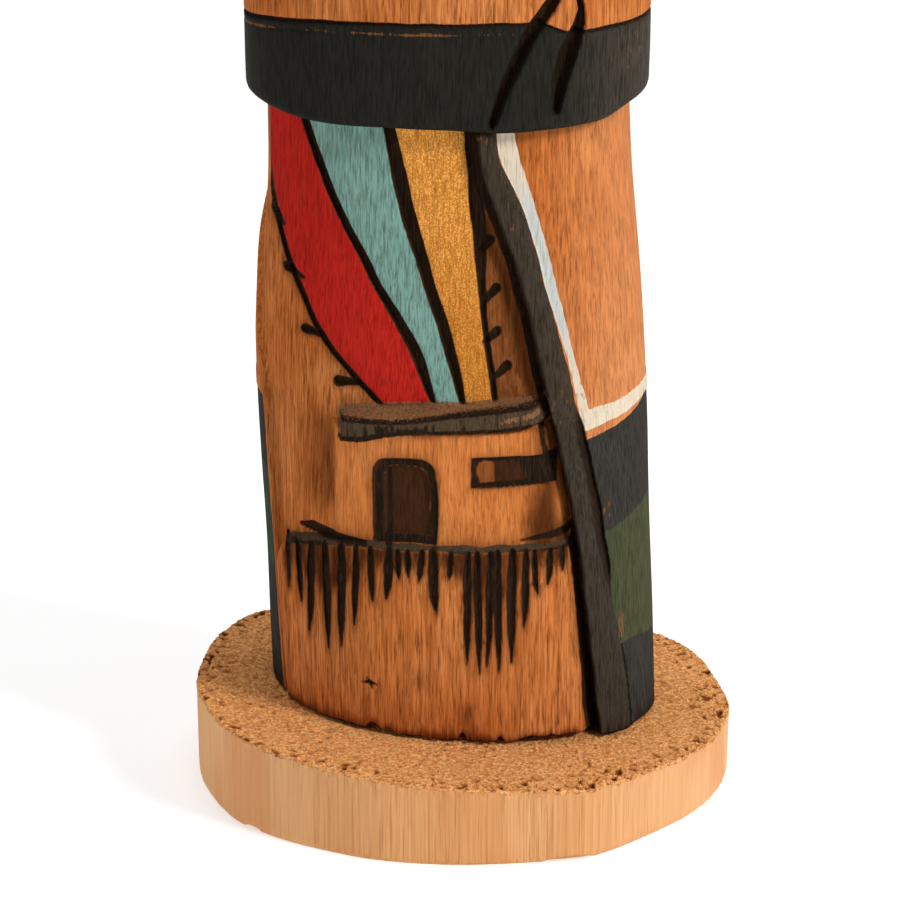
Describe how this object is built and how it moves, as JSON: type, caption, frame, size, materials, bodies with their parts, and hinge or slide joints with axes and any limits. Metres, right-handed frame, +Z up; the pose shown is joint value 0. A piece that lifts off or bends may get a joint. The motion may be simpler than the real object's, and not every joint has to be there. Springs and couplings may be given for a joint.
{
  "type": "kachina doll",
  "caption": "Column-shaped carved wooden doll in a robe and cape, standing on a slice of root with a sloping sawn top.",
  "frame": {"origin": "middle of the root slice's underside", "axes": "+Z up along the doll, -Y towards the doll's front, +X towards the robe's black border strip"},
  "size_m": [0.0954, 0.0803, 0.2705],
  "materials": {
    "base": "matte",
    "figure": "satin"
  },
  "bodies": {
    "root": {"base": "base", "figure": "figure"}
  },
  "joints": []
}
